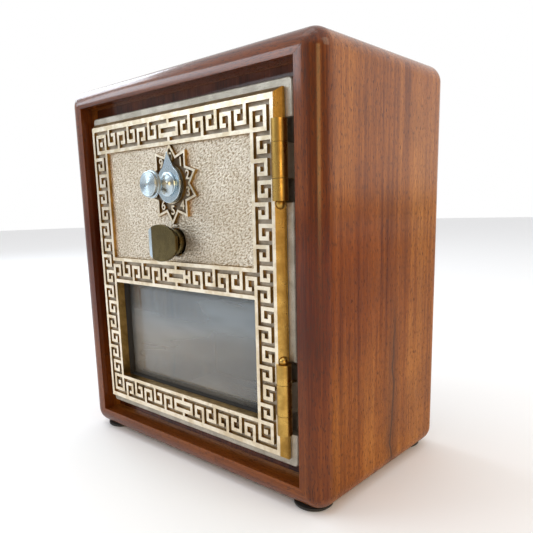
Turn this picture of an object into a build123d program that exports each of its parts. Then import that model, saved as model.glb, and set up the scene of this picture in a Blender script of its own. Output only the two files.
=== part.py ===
from build123d import *
import math
import os

# Small wooden lock box with a cast post-office style door, used to collect coins and notes.
# Millimetres. +Z is up, the door faces -Y and its hinges are on +X.
# The origin is under the middle of the whole object, on the surface that the feet stand on.
# "depth" below is measured backwards (+Y) from the case's front face, "rise" up from its mid height.

os.makedirs("parts", exist_ok=True)

# Driving dimensions of the wooden case.
case_width = 180.0
case_depth = 108.0
case_height = 200.0
side_thickness = 12.7
rail_thickness = 10.7
case_round = 9.0
foot_height = 1.5
knob_reach = 14.2           # how far the dial knob stands in front of the case

# Wooden panels held in grooves.
tongue = 3.0
groove_gap = 0.1
panel_thickness = 5.0
front_panel_depth = 11.2
back_panel_depth = 97.0

# Metal frame behind the door.
frame_width = 145.4
frame_height = 166.7
frame_depth = 5.0           # depth of the frame's face
aperture_half_width = 62.5
aperture_half_height = 75.0
pocket_floor = 9.0          # depth of the hollows that the hinges turn in
collar_wall = 3.0
collar_end = 22.5

# Door leaf.
face_half_width = 66.7
face_half_height = 77.4
bevel_run = 2.25
bevel_depth = 3.4
leaf_back = 4.7
relief_depth = 1.7

# Greek key relief.
side_rail = 1.8
cap_rail = 2.4
inner_rail = 1.8
gap = 1.85
key_bar = 1.75
key_slit = 1.5
side_band = 13.0
cap_band = 14.4
middle_band_top = 6.3
middle_band_height = 13.9
middle_rail = 1.8
motif_half = 7.35
hooks_across = 5
hooks_down = 14
motif_slot = 2.3
stem_width = 1.6

# Hinges.
hinge_x = 68.1
hinge_depth = 2.0
barrel_radius = 3.4
hinge_rise = 51.0
hinge_length = 32.4
middle_knuckle = 14.2
knuckle_gap = 0.15
pin_radius = 1.5
pin_ball_radius = 2.1
pin_ball_offset = 1.2       # from the end of the outer knuckle to the ball's middle
running_gap = 0.05

# Dial lock.
dial_rise = 44.3
star_tip = 19.3
star_valley = 14.0
star_points = 10
star_line = 1.1
boss_radius = 9.4
spindle_radius = 3.0
wheel_radius = 12.0
wheel_thickness = 1.4
wheel_pitch = 2.2
first_wheel_depth = 7.4
washer_radius = 5.0
gate_depth = 5.0
fence_half_height = 1.5
fence_length = 6.0
fence_clearance = 0.4
stub_radius = 2.0
stub_gap = 0.02
clip_thickness = 0.7
clip_bore = 2.35
tumblers = ("front", "middle", "rear")

# Latch.
latch_rise = 16.3
crank_radius = 8.0
crank_half_swing = 25.0
crank_pin_radius = 1.5
crank_front = 15.35
crank_back = 17.1
bolt_front = 17.5
bolt_back = 21.0
bolt_half_height = 5.0
bolt_tip = -67.5
bolt_tail = 13.0
stem_length = 3.0
slot_gap = 0.2
shaft_radius = 3.5
latch_stub_radius = 2.2
latch_hole_radius = 7.1

# Lock case on the back of the door.
lock_left = -49.0
lock_right = 42.0
lock_bottom = 5.0
lock_top = 65.0
lock_wall = 1.6
lock_end = 24.0
cover_thickness = 1.5

# Window.
window_low = -face_half_height + cap_band
window_high = middle_band_top - middle_band_height
window_half_width = face_half_width - side_band
window_mid = (window_low + window_high) / 2
window_half_height = (window_high - window_low) / 2
glass_front = 7.9
glass_thickness = 3.0
glass_margin = 3.5
glass_bevel = 7.0
retainer_thickness = 1.2

# Screws and feet.
screw_radius = 1.5
small_screw_radius = 1.2
foot_radius = 9.0
foot_inset_x = 14.0
foot_inset_y = 12.0
foot_recess = 0.9

front_y = -(case_depth - knob_reach) / 2
mid_z = foot_height + case_height / 2


def place(x, depth, rise):
    """Location of a point given across, behind the case's front face and above its middle."""
    return Pos(x, front_y + depth, mid_z + rise)


def plate(outline, front, back):
    """Extrude an outline drawn in front view (x, rise) from one depth back to another."""
    return place(0, back, 0) * extrude(Plane.XZ * outline, amount=back - front)


def rod(radius, front, back, x=0.0, rise=0.0):
    """Round bar that lies front to back."""
    return plate(Pos(x, rise) * Circle(radius), front, back)


def post(radius, low, high, x, depth):
    """Round upright bar between two rises."""
    return place(x, depth, (low + high) / 2) * Cylinder(radius, high - low)


def bar(x0, low, x1, high):
    """Rectangle in front view given by two corners."""
    return Pos((x0 + x1) / 2, (low + high) / 2) * Rectangle(abs(x1 - x0), abs(high - low))


def turned(profile, x, rise):
    """Solid of revolution about a front to back axis; the profile is a list of (radius, depth)."""
    points = [(0, profile[0][1])] + profile + [(0, profile[-1][1])]
    outline = make_face(Polyline([(r, d) for r, d in points], close=True))
    solid = revolve(Plane.XY * outline, Axis.Y)
    return place(x, 0, rise) * solid


def hollow(outline_out, outline_in, front, back):
    return plate(outline_out, front, back) - plate(outline_in, front, back)


def corners(x, rise):
    """The four points at plus and minus x and rise."""
    return [(sx * x, sr * rise) for sx in (-1, 1) for sr in (-1, 1)]


def both_sides(half):
    """A front-view sketch joined with its mirror image about the middle."""
    return half + mirror(half, about=Plane.YZ)


# ---------------------------------------------------------------- wooden case


def case_shell():
    """The four boards as one ring, rounded on every outer edge and grooved for the two panels."""
    block = fillet(Box(case_width, case_depth, case_height).edges(), case_round)
    block = place(0, case_depth / 2, 0) * block
    opening = Rectangle(case_width - 2 * side_thickness, case_height - 2 * rail_thickness)
    shell = block - plate(opening, -1, case_depth + 1)
    for depth in (front_panel_depth, back_panel_depth):
        groove = panel_outline(tongue + groove_gap)
        shell -= plate(groove, depth - groove_gap, depth + panel_thickness + groove_gap)
    return shell


def panel_outline(extra):
    width = case_width - 2 * side_thickness + 2 * extra
    return Rectangle(width, case_height - 2 * rail_thickness + 2 * extra)


def mitre(side):
    """Front-view wedge that one board fills, cut on the mitre lines at both of its ends."""
    half_w = case_width / 2
    half_h = case_height / 2
    inner_w = half_w - side_thickness
    inner_h = half_h - rail_thickness
    if side in ("left", "right"):
        sign = -1 if side == "left" else 1
        points = [(sign * half_w, -half_h), (sign * inner_w, -inner_h),
                  (sign * inner_w, inner_h), (sign * half_w, half_h)]
    else:
        sign = -1 if side == "bottom" else 1
        points = [(-half_w, sign * half_h), (-inner_w, sign * inner_h),
                  (inner_w, sign * inner_h), (half_w, sign * half_h)]
    return plate(make_face(Polyline(points, close=True)), -1, case_depth + 1)


def boards():
    """Left, right, top and bottom boards; the top one has the slot for coins and folded notes."""
    shell = case_shell()
    made = {side: shell & mitre(side) for side in ("left", "right", "top", "bottom")}
    slot_length = 50.0
    slot_width = 5.0
    slot = Box(slot_length, slot_width, 3 * rail_thickness)
    slot = fillet(slot.edges().filter_by(Axis.Z), slot_width / 2 - 0.1)
    made["top"] -= place(0, case_depth / 2, case_height / 2 - rail_thickness / 2) * slot
    screw_height = 8.0
    for x, depth in foot_places():
        low = -case_height / 2
        made["bottom"] -= post(small_screw_radius, low - 1, low + screw_height, x, depth)
    return {side + "_board": solid for side, solid in made.items()}


def front_panel():
    panel = plate(panel_outline(tongue), front_panel_depth, front_panel_depth + panel_thickness)
    cut = Rectangle(2 * (aperture_half_width + collar_wall + 0.5),
                    2 * (aperture_half_height + collar_wall + 0.5))
    panel -= plate(cut, front_panel_depth - 1, front_panel_depth + panel_thickness + 1)
    for x, rise in frame_screw_places():
        panel -= rod(screw_radius + 0.1, front_panel_depth - 1, collar_end, x, rise)
    return panel


def back_panel():
    return plate(panel_outline(tongue), back_panel_depth, back_panel_depth + panel_thickness)


def foot_places():
    x = case_width / 2 - foot_inset_x
    return [(sx * x, depth) for sx in (-1, 1) for depth in (foot_inset_y, case_depth - foot_inset_y)]


def foot_bottom():
    return -case_height / 2 - foot_height


def rubber_feet():
    """Flat round pads with a recess that hides the screw's head."""
    feet = []
    for x, depth in foot_places():
        foot = Cylinder(foot_radius, foot_height)
        foot = chamfer(foot.edges().group_by(Axis.Z)[0], 0.5)
        foot = place(x, depth, -case_height / 2 - foot_height / 2) * foot
        foot -= post(3.0, foot_bottom() - 1, foot_bottom() + foot_recess, x, depth)
        foot -= post(small_screw_radius + 0.1, foot_bottom() - 1, -case_height / 2 + 1, x, depth)
        feet.append(foot)
    return feet


def foot_screws():
    screws = []
    for x, depth in foot_places():
        seat = foot_bottom() + foot_recess
        head = post(2.6, foot_bottom() + 0.2, seat, x, depth)
        shank = post(small_screw_radius, seat, -case_height / 2 + 7.5, x, depth)
        screws.append(head + shank)
    return screws


# ---------------------------------------------------------------- metal frame and hinges


def frame_screw_places():
    return corners(69.1, 74.0)


def knuckle_range(centre, part):
    """Lower and upper rise of one of a hinge's three knuckles."""
    half = middle_knuckle / 2
    end = hinge_length / 2
    spans = {
        "low": (-end, -half - knuckle_gap),
        "middle": (-half, half),
        "high": (half + knuckle_gap, end),
    }
    low, high = spans[part]
    return centre + low, centre + high


def door_frame():
    """Flange with an aperture, a collar through the wood, hinge pockets and middle knuckles."""
    corner = 2.0
    flange_outline = fillet(Rectangle(frame_width, frame_height).vertices(), corner)
    frame = plate(flange_outline, frame_depth, front_panel_depth)
    frame = chamfer(frame.faces().sort_by(Axis.Y)[0].edges(), 0.5)
    collar = Rectangle(2 * (aperture_half_width + collar_wall), 2 * (aperture_half_height + collar_wall))
    frame += plate(collar, front_panel_depth, collar_end)
    frame -= plate(Rectangle(2 * aperture_half_width, 2 * aperture_half_height), 0, collar_end + 1)
    frame -= strike_slot()
    pocket_left = hinge_x - barrel_radius - 0.7
    pocket_half = hinge_length / 2 + 0.7
    web_half = 2.0
    for centre in (-hinge_rise, hinge_rise):
        pocket = bar(pocket_left, centre - pocket_half, frame_width / 2 + 1, centre + pocket_half)
        frame -= plate(pocket, 0, pocket_floor)
        low, high = knuckle_range(centre, "middle")
        web = bar(hinge_x - web_half, low, hinge_x + web_half, high)
        frame += post(barrel_radius, low, high, hinge_x, hinge_depth)
        frame += plate(web, hinge_depth, pocket_floor + 0.5)
        frame -= post(pin_radius, low - 1, high + 1, hinge_x, hinge_depth)
    for x, rise in frame_screw_places():
        frame -= rod(screw_radius, frame_depth + 2.5, front_panel_depth + 1, x, rise)
    return frame


def strike_slot():
    """Window in the collar's left wall that the bolt's tip enters."""
    margin = 0.4
    outer = aperture_half_width + collar_wall + 1
    low = latch_rise - bolt_half_height - margin
    high = latch_rise + bolt_half_height + margin
    outline = bar(-outer, low, -aperture_half_width + 1, high)
    return plate(outline, bolt_front - margin, bolt_back + margin)


def frame_screws():
    back = front_panel_depth + panel_thickness
    screws = []
    for x, rise in frame_screw_places():
        shank = rod(screw_radius, frame_depth + 3, back, x, rise)
        head = rod(3.0, back, back + 1.8, x, rise)
        driver = plate(Pos(x, rise) * Rectangle(4.5, 0.8), back + 1.0, back + 2.5)
        screws.append(shank + head - driver)
    return screws


def pin_ball(centre, radius, start):
    """Ball on a hinge pin's end nearest the door's middle, cut off flat a little beyond the knuckle."""
    sign = -1 if centre > 0 else 1
    end = hinge_length / 2
    ball = place(hinge_x, hinge_depth, centre + sign * (end + pin_ball_offset)) * Sphere(radius)
    low, high = sorted((centre + sign * (end + start), centre + sign * (end + 3 * radius)))
    return ball & post(2 * radius, low, high, hinge_x, hinge_depth)


def hinge_pin(centre):
    """Pin with a ball at the end nearest the door's middle and a flush end at the other."""
    sign = -1 if centre > 0 else 1
    end = hinge_length / 2
    low, high = sorted((centre - sign * (end - running_gap), centre + sign * (end + pin_ball_offset)))
    shank = post(pin_radius, low, high, hinge_x, hinge_depth)
    return shank + pin_ball(centre, pin_ball_radius, running_gap)


# ---------------------------------------------------------------- door leaf


def key_pitch():
    """Distance from one hook of the key pattern to the next."""
    run = face_half_width - motif_half - side_band
    return (run - gap) / hooks_across


def hook_bars(depth):
    """One square hook as (s0, t0, s1, t1) boxes: s runs along the border, t away from its rail."""
    length = key_pitch() - gap
    return [
        (0, -gap, key_bar, depth),
        (0, depth - key_bar, length, depth),
        (length - key_bar, 0, length, depth),
        (key_bar + key_slit, 0, length, key_bar),
    ]


def key_run(corner, along, across, width, hooks, near_first, lead):
    """Alternating hooks that hang from the near and the far rail of a border in turn."""
    depth = width - 2 * gap
    bars = []
    for k in range(hooks):
        near = (k % 2 == 0) == near_first
        for s0, t0, s1, t1 in hook_bars(depth):
            if near:
                t0, t1 = gap + t0, gap + t1
            else:
                t0, t1 = width - gap - t0, width - gap - t1
            s_base = lead + k * key_pitch()
            p = [corner[i] + along[i] * (s_base + s0) + across[i] * t0 for i in (0, 1)]
            q = [corner[i] + along[i] * (s_base + s1) + across[i] * t1 for i in (0, 1)]
            bars.append(bar(p[0], p[1], q[0], q[1]))
    return bars


def ring(x0, low, x1, high, wall):
    """Rectangular outline of even thickness."""
    return bar(x0, low, x1, high) - bar(x0 + wall, low + wall, x1 - wall, high - wall)


def corner_motif(sign):
    """Square ring with a stud in its middle, at the top (1) or bottom (-1) left corner."""
    x0 = -face_half_width + side_rail + gap
    x1 = -face_half_width + side_band
    outer = sign * (face_half_height - cap_rail - gap)
    inner = sign * (face_half_height - cap_band)
    low, high = sorted((outer, inner))
    stud = 2.4
    centre_x = (x0 + x1) / 2
    centre_rise = (low + high) / 2
    return ring(x0, low, x1, high, inner_rail) + Pos(centre_x, centre_rise) * Rectangle(stud, stud)


def centre_motif(low, high):
    """Left half of the slotted bar in the middle of a border, with stems to both rails."""
    motif = bar(-motif_half, low + gap, 0, high - gap)
    mid = (low + high) / 2
    motif -= bar(-motif_half + key_bar, mid - motif_slot / 2, 1, mid + motif_slot / 2)
    motif += bar(-stem_width / 2, high - gap, 0, high + 0.1)
    motif += bar(-stem_width / 2, low - 0.1, 0, low + gap)
    return motif


def cap_border(sign):
    """Left half of the top (1) or bottom (-1) border between its two rails."""
    near = sign * (face_half_height - cap_rail)
    far = sign * (face_half_height - cap_band + inner_rail)
    start = (-face_half_width + side_band, near)
    hooks = key_run(start, (1, 0), (0, -sign), abs(near - far), hooks_across, True, gap)
    low, high = sorted((near, far))
    rail = bar(-face_half_width + side_band - inner_rail, far, 0, sign * (face_half_height - cap_band))
    return Sketch() + [corner_motif(sign), centre_motif(low, high), rail, *hooks]


def side_border():
    """Hooks of the left border, from the top corner motif down to the bottom one."""
    start = (-face_half_width + side_rail, face_half_height - cap_band)
    width = side_band - side_rail - inner_rail
    return key_run(start, (0, -1), (1, 0), width, hooks_down, True, gap)


def side_inner_rail():
    """Left inner rail, broken just under the middle border's upper rail."""
    x0 = -face_half_width + side_band - inner_rail
    x1 = -face_half_width + side_band
    end = face_half_height - cap_band
    break_top = middle_band_top - middle_rail
    break_low = break_top - middle_gap()
    return [bar(x0, break_top, x1, end + 0.1), bar(x0, -end - 0.1, x1, break_low)]


def middle_gap():
    """Clear strip between the middle border's rails and its hooks."""
    hook_depth = 6.2
    return (middle_band_height - 2 * middle_rail - hook_depth) / 2


def middle_border():
    """Left half of the border between the dial panel and the window."""
    left = -face_half_width + side_band - inner_rail
    high = middle_band_top - middle_rail
    low = middle_band_top - middle_band_height + middle_rail
    rails = [bar(left, high, 0, middle_band_top), bar(left, low - middle_rail, 0, low)]
    hooks = key_run((left, high), (1, 0), (0, -1), high - low, hooks_across, False, 0)
    mid = (low + high) / 2
    upright = left + hooks_across * key_pitch()
    h_shape = [bar(upright, low + middle_gap(), upright + key_bar, high - middle_gap()),
               bar(upright, mid - key_bar / 2, -motif_half + 0.1, mid + key_bar / 2)]
    return Sketch() + [*rails, *hooks, *h_shape, centre_motif(low, high)]


def star_outline(tip, valley):
    points = []
    for k in range(2 * star_points):
        radius = tip if k % 2 == 0 else valley
        angle = math.radians(90 + 180 * k / star_points)
        points.append((radius * math.cos(angle), dial_rise + radius * math.sin(angle)))
    return make_face(Polyline(points, close=True))


def star():
    outer = star_outline(star_tip, star_valley)
    return outer - offset(outer, amount=-star_line, kind=Kind.INTERSECTION)


def relief():
    """Everything that stands up from the door's sunken ground."""
    outer = Rectangle(2 * face_half_width, 2 * face_half_height)
    field = Rectangle(2 * (face_half_width - side_rail), 2 * (face_half_height - cap_rail))
    half = Sketch() + [cap_border(1), cap_border(-1), middle_border(), *side_border(), *side_inner_rail()]
    return (outer - field) + both_sides(half) + star()


def bevelled_blank():
    """Door blank: a flat face, a sloping bevel all round and a square back edge."""
    face = Plane.XZ * Rectangle(2 * face_half_width, 2 * face_half_height)
    base = Plane.XZ * Rectangle(2 * (face_half_width + bevel_run), 2 * (face_half_height + bevel_run))
    slope = loft([place(0, 0, 0) * face.face(), place(0, bevel_depth, 0) * base.face()])
    edge = Rectangle(2 * (face_half_width + bevel_run), 2 * (face_half_height + bevel_run))
    return slope + plate(edge, bevel_depth, leaf_back)


def door_leaf():
    leaf = bevelled_blank()
    ground = Rectangle(2 * (face_half_width - side_rail), 2 * (face_half_height - cap_rail))
    leaf -= plate(ground, -1, relief_depth)
    leaf += plate(relief(), 0, relief_depth)
    leaf += rod(boss_radius, 0, relief_depth, 0, dial_rise)
    leaf -= rod(boss_radius - 1.0, -1, 0.5, 0, dial_rise)
    window = Pos(0, window_mid) * Rectangle(2 * window_half_width, 2 * window_half_height)
    leaf -= plate(window, -1, leaf_back + 1)
    leaf -= rod(spindle_radius + running_gap, -1, leaf_back + 1, 0, dial_rise)
    leaf -= rod(latch_hole_radius, -1, leaf_back + 1, 0, latch_rise)
    for x, rise in case_screw_places():
        leaf -= rod(small_screw_radius, leaf_back - 1.6, leaf_back + 1, x, rise)
    for x, rise in retainer_screw_places():
        leaf -= rod(small_screw_radius, leaf_back - 1.6, leaf_back + 1, x, rise)
    for centre in (-hinge_rise, hinge_rise):
        low, high = knuckle_range(centre, "middle")
        notch = bar(hinge_x - barrel_radius - 0.4, low - knuckle_gap, hinge_x + 6, high + knuckle_gap)
        for part in ("low", "high"):
            span = knuckle_range(centre, part)
            leaf += post(barrel_radius, *span, hinge_x, hinge_depth)
        leaf -= plate(notch, -2, leaf_back + 5)
        end = hinge_length / 2
        leaf -= post(pin_radius + running_gap, centre - end, centre + end, hinge_x, hinge_depth)
        leaf -= pin_ball(centre, pin_ball_radius + 0.15, 0)
    return leaf


# ---------------------------------------------------------------- window


def window_bar(margin):
    """The window's opening, grown by a margin on every side."""
    return Pos(0, window_mid) * Rectangle(2 * (window_half_width + margin),
                                          2 * (window_half_height + margin))


def retainer_screw_places():
    x = window_half_width + 5.6
    return [(sx * x, window_mid + sr * 20.0) for sx in (-1, 1) for sr in (-1, 1)]


def window_gasket():
    """Dark liner between the back of the door and the glass."""
    return hollow(window_bar(glass_margin), window_bar(-0.3), leaf_back, glass_front)


def window_glass():
    """Plate with a wide shallow bevel around its front."""
    margin = glass_margin - 0.3
    front_step = 1.2
    inner = window_bar(margin - glass_bevel).face()
    outer = window_bar(margin).face()
    front = place(0, glass_front, 0) * (Plane.XZ * inner)
    back = place(0, glass_front + front_step, 0) * (Plane.XZ * outer)
    slope = loft([front, back])
    return slope + plate(window_bar(margin), glass_front + front_step, glass_front + glass_thickness)


def glass_retainer():
    """Pressed frame that clamps the glass, with four ears that reach the door's back on pillars."""
    ear_radius = 3.2
    pillar_radius = 2.0
    back = glass_front + glass_thickness
    retainer = hollow(window_bar(glass_margin + 0.2), window_bar(-2.0), back, back + retainer_thickness)
    for x, rise in retainer_screw_places():
        inward = math.copysign(window_half_width, x)
        ear = bar(inward, rise - ear_radius, x, rise + ear_radius) + Pos(x, rise) * Circle(ear_radius)
        retainer += plate(ear, back, back + retainer_thickness)
        retainer += rod(pillar_radius, leaf_back, back, x, rise)
        retainer -= rod(small_screw_radius, leaf_back - 1, back + 3, x, rise)
    return retainer


def screws_at(places, tip, seat):
    """Identical pan-head screws, their heads seated at one depth."""
    made = []
    for x, rise in places:
        shank = rod(small_screw_radius, tip, seat, x, rise)
        head = rod(2.3, seat, seat + 1.3, x, rise)
        driver = plate(Pos(x, rise) * Rectangle(3.6, 0.7), seat + 0.7, seat + 2)
        made.append(shank + head - driver)
    return made


# ---------------------------------------------------------------- dial lock


def pointer():
    """Drop-shaped hand: a disc that draws in along two hollow flanks to a blunt tip."""
    disc = boss_radius - 0.5
    tip_reach = 15.4
    tip_half = 0.6
    shoulder = math.radians(55)
    sx = disc * math.cos(shoulder)
    sy = disc * math.sin(shoulder)
    right = Spline([(sx, sy), (2.6, 10.7), (tip_half, tip_reach)],
                   tangents=[(-math.sin(shoulder), math.cos(shoulder)), (-0.1, 1)])
    left = mirror(right, about=Plane.YZ)
    tip = Line((tip_half, tip_reach), (-tip_half, tip_reach))
    base = ThreePointArc((-sx, sy), (0, -disc), (sx, sy))
    outline = Pos(0, dial_rise) * make_face([right, tip, left, base])
    hand = plate(outline, -1.8, -0.6)
    hand = chamfer(hand.faces().sort_by(Axis.Y)[0].edges(), 0.25)
    return hand - rod(stub_radius + stub_gap, -3, 1, 0, dial_rise)


def dial_knob():
    """Turned knob: dished foot, hollow waist, flared head with a groove and a flat front."""
    profile = [(5.9, -1.8), (5.9, -2.6), (5.2, -3.1), (4.2, -4.2), (3.4, -5.6), (3.0, -7.2),
               (3.3, -8.6), (4.2, -9.8), (5.6, -10.7), (6.5, -11.2), (6.5, -12.3), (6.0, -12.5),
               (6.0, -12.8), (5.8, -13.0), (5.8, -13.9), (5.5, -knob_reach)]
    knob = turned(profile, 0, dial_rise)
    return knob - rod(stub_radius + stub_gap, -7.0, 0, 0, dial_rise)


def dial_spindle():
    """Stepped shaft: a stub for the hand and knob, a shoulder, then the wheel seat."""
    groove_front = clip_front() - 0.05
    groove_back = groove_front + clip_thickness + 0.1
    shaft = rod(stub_radius, -6.8, 0, 0, dial_rise)
    shaft += rod(spindle_radius, -0.6, groove_back + 1.0, 0, dial_rise)
    return shaft - washer(spindle_radius + 1, clip_bore - 0.05, groove_front, groove_back)


def wheel_depth(k):
    return first_wheel_depth + k * wheel_pitch


def wheel_gate():
    """Notch in a wheel's rim that faces the bolt's fence."""
    half = fence_half_height + 0.4
    return bar(-wheel_radius - 1, dial_rise - half, -wheel_radius + gate_depth, dial_rise + half)


def lock_wheel(k, bore):
    front = wheel_depth(k)
    wheel = rod(wheel_radius, front, front + wheel_thickness, 0, dial_rise)
    wheel -= plate(wheel_gate(), front - 1, front + wheel_thickness + 1)
    return wheel - rod(bore, front - 1, front + wheel_thickness + 1, 0, dial_rise)


def tumbler_wheel(k):
    """Loose wheel with a small stud that its neighbour picks up."""
    wheel = lock_wheel(k, spindle_radius + running_gap)
    back = wheel_depth(k) + wheel_thickness
    stud_turn = math.radians(40 + 60 * k)
    stud_reach = 8.0
    x = stud_reach * math.cos(stud_turn)
    rise = dial_rise + stud_reach * math.sin(stud_turn)
    return wheel + rod(0.9, back, back + 0.4, x, rise)


def washer(radius, bore, front, back):
    """Flat ring about the dial's axis."""
    return plate(Pos(0, dial_rise) * (Circle(radius) - Circle(bore)), front, back)


def drive_wheel():
    """Last wheel, fixed to the spindle, with a raised hub."""
    front = wheel_depth(len(tumblers))
    hub = washer(washer_radius, spindle_radius, front - 0.3, front)
    return lock_wheel(len(tumblers), spindle_radius) + hub


def wheel_washers():
    """Thin washers that keep the wheels apart."""
    made = []
    for k in range(len(tumblers)):
        front = wheel_depth(k) - (wheel_pitch - wheel_thickness) + running_gap
        made.append(washer(washer_radius, spindle_radius + running_gap, front, wheel_depth(k) - running_gap))
    return made


def clip_front():
    return wheel_depth(len(tumblers)) + wheel_thickness + 0.2


def spindle_clip():
    """Open spring ring in the spindle's groove."""
    outline = Circle(2 * clip_bore) - Circle(clip_bore) - bar(-1.6, -6, 1.6, 0)
    return plate(Pos(0, dial_rise) * outline, clip_front(), clip_front() + clip_thickness)


# ---------------------------------------------------------------- latch


def latch_knob():
    """Oval thumb-turn: straight ends, a shallow bevel at the left one, domed back and a round neck."""
    half_length = 10.85
    half_height = 9.05
    left_flat = 6.1
    right_flat = 3.6
    crown = -0.8
    front = -8.0
    bevel_length = 3.3
    bevel_fall = 0.7
    oval = [Line((-half_length, -left_flat), (-half_length, left_flat)),
            ThreePointArc((-half_length, left_flat), (crown, half_height), (half_length, right_flat)),
            Line((half_length, right_flat), (half_length, -right_flat)),
            ThreePointArc((half_length, -right_flat), (crown, -half_height), (-half_length, -left_flat))]
    outline = Pos(0, latch_rise) * make_face(oval)
    head = plate(outline, front, -6.2)
    wedge_left = -half_length - bevel_length
    wedge = make_face(Polyline([(-half_length + 2 * bevel_length, front - bevel_fall),
                                (wedge_left, front - bevel_fall),
                                (wedge_left, front + 2 * bevel_fall)], close=True))
    head -= place(0, 0, latch_rise) * extrude(Plane.XY * wedge, amount=2 * half_height, both=True)
    back = turned([(4.6, -1.0), (4.6, -3.4), (5.2, -4.6), (6.8, -5.6), (8.6, -6.2)], 0, latch_rise)
    return head + back - rod(latch_stub_radius + stub_gap, -5.0, 0, 0, latch_rise)


def latch_spindle():
    """Round rose that fills the door's hole, with a stub for the knob and a shaft for the crank."""
    rose_radius = latch_hole_radius - 0.7
    rose_back = leaf_back - 0.4
    rose = turned([(rose_radius - 0.5, -1.0), (rose_radius, -0.5), (rose_radius, rose_back),
                   (shaft_radius, rose_back), (shaft_radius, crank_front - 0.05),
                   (latch_stub_radius, crank_front - 0.05), (latch_stub_radius, crank_back)], 0, latch_rise)
    return rose + rod(latch_stub_radius, -4.8, -1.0, 0, latch_rise)


def crank_pin_place():
    """Front-view place of the crank's pin at rest, turned back from upright."""
    turn = math.radians(crank_half_swing)
    return -crank_radius * math.sin(turn), latch_rise + crank_radius * math.cos(turn)


def latch_crank():
    x, rise = crank_pin_place()
    hub = Pos(0, latch_rise) * Circle(2 * latch_stub_radius)
    end = Pos(x, rise) * Circle(crank_pin_radius + 1.1)
    web = make_hull([*hub.edges(), *end.edges()])
    crank = plate(web, crank_front, crank_back)
    crank -= rod(latch_stub_radius, crank_front - 1, crank_back + 1, 0, latch_rise)
    return crank + rod(crank_pin_radius, crank_back - 0.1, bolt_back, x, rise)


def latch_bolt():
    """Sliding bar with a slot for the crank's pin, a bevelled tip and the arm that carries the fence."""
    low = latch_rise - bolt_half_height
    high = latch_rise + bolt_half_height
    pin_x, pin_rise = crank_pin_place()
    lug_half = 5.5
    outline = bar(bolt_tip, low, bolt_tail, high)
    outline += bar(pin_x - lug_half, high - 1, pin_x + lug_half, pin_rise + 4.6)
    fence_right = -wheel_radius - fence_clearance - bolt_travel()
    arm_right = fence_right - 2.0
    outline += bar(arm_right - fence_length, high - 1, arm_right, dial_rise + 2 * fence_half_height)
    slot_half = crank_pin_radius + slot_gap
    slot_low = pin_rise - slot_half - 0.4
    slot_high = pin_rise + slot_half + 1.0
    outline -= bar(pin_x - slot_half, slot_low, pin_x + slot_half, slot_high)
    fence = bar(fence_right - fence_length, dial_rise - fence_half_height,
                fence_right, dial_rise + fence_half_height)
    bolt = plate(outline, bolt_front, bolt_back) + plate(fence, wheel_depth(0), bolt_back)
    tip_cut = make_face(Polyline([(bolt_tip - 1, bolt_back + 1), (bolt_tip + 4, bolt_back + 1),
                                  (bolt_tip - 1, bolt_front + 1)], close=True))
    bolt -= place(0, 0, latch_rise) * extrude(Plane.XY * tip_cut, amount=2 * bolt_half_height, both=True)
    stem = Rot(0, 90, 0) * Cylinder(1.4, stem_length)
    return bolt + place(bolt_tail + stem_length / 2, bolt_middle_depth(), latch_rise) * stem


def bolt_middle_depth():
    return (bolt_front + bolt_back) / 2


def bolt_travel():
    """How far the crank draws the bolt over its whole swing."""
    return 2 * crank_radius * math.sin(math.radians(crank_half_swing))


def spring_right():
    return lock_right - lock_wall


def bolt_spring():
    """Coil that pushes the bolt out against the lock case's wall."""
    wire = 0.45
    coil = 2.4
    turns = 8
    start = bolt_tail + wire
    length = spring_right() - wire - start
    helix = Helix(pitch=length / turns, height=length, radius=coil)
    section = Plane(helix @ 0, z_dir=helix % 0) * Circle(wire)
    spring = sweep(section, path=helix, is_frenet=True)
    return place(start, bolt_middle_depth(), latch_rise) * Rot(0, 90, 0) * spring


# ---------------------------------------------------------------- lock case


def case_screw_places():
    inset = 11.0
    return [(x, rise) for x in (lock_left + inset, lock_right - inset)
            for rise in (lock_bottom + 28, lock_top - 4.5)]


def cover_screw_places():
    inset = 4.2
    return [(x, rise) for x in (lock_left + inset, lock_right - inset)
            for rise in (lock_bottom + inset - 1, lock_top - inset)]


def lock_case():
    """Tray on the back of the door with a bolt slot in its left wall and guides for the bolt."""
    outer = bar(lock_left, lock_bottom, lock_right, lock_top)
    inner = bar(lock_left + lock_wall, lock_bottom + lock_wall,
                lock_right - lock_wall, lock_top - lock_wall)
    tray = plate(outer, leaf_back, lock_end) - plate(inner, leaf_back + lock_wall, lock_end + 1)
    boss = 3.0
    for x, rise in cover_screw_places():
        tray += rod(boss, leaf_back, lock_end, x, rise) & plate(outer, leaf_back, lock_end)
    low = latch_rise - bolt_half_height
    high = latch_rise + bolt_half_height
    guide_half = 1.5
    left_guide = lock_left + 12
    right_guide = 9.0
    for x in (left_guide, right_guide):
        guide = bar(x - guide_half, low - 2.0, x + guide_half, high)
        tray += plate(guide, leaf_back, bolt_front - 0.1)
    ledge = bar(left_guide - guide_half, low - 2.0, left_guide + guide_half, low - 0.15)
    tray += plate(ledge, leaf_back, lock_end)
    slot = bar(lock_left - 1, low - 0.2, lock_left + lock_wall + 3, high + 0.2)
    tray -= plate(slot, bolt_front - 0.1, bolt_back + 0.2)
    for x, rise in cover_screw_places():
        tray -= rod(small_screw_radius, lock_end - 6, lock_end + 1, x, rise)
    for x, rise in case_screw_places():
        tray -= rod(small_screw_radius + 0.1, leaf_back - 1, leaf_back + 3, x, rise)
    tray -= rod(spindle_radius + 0.3, leaf_back - 1, leaf_back + 3, 0, dial_rise)
    return tray - rod(shaft_radius + running_gap, leaf_back - 1, leaf_back + 3, 0, latch_rise)


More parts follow.
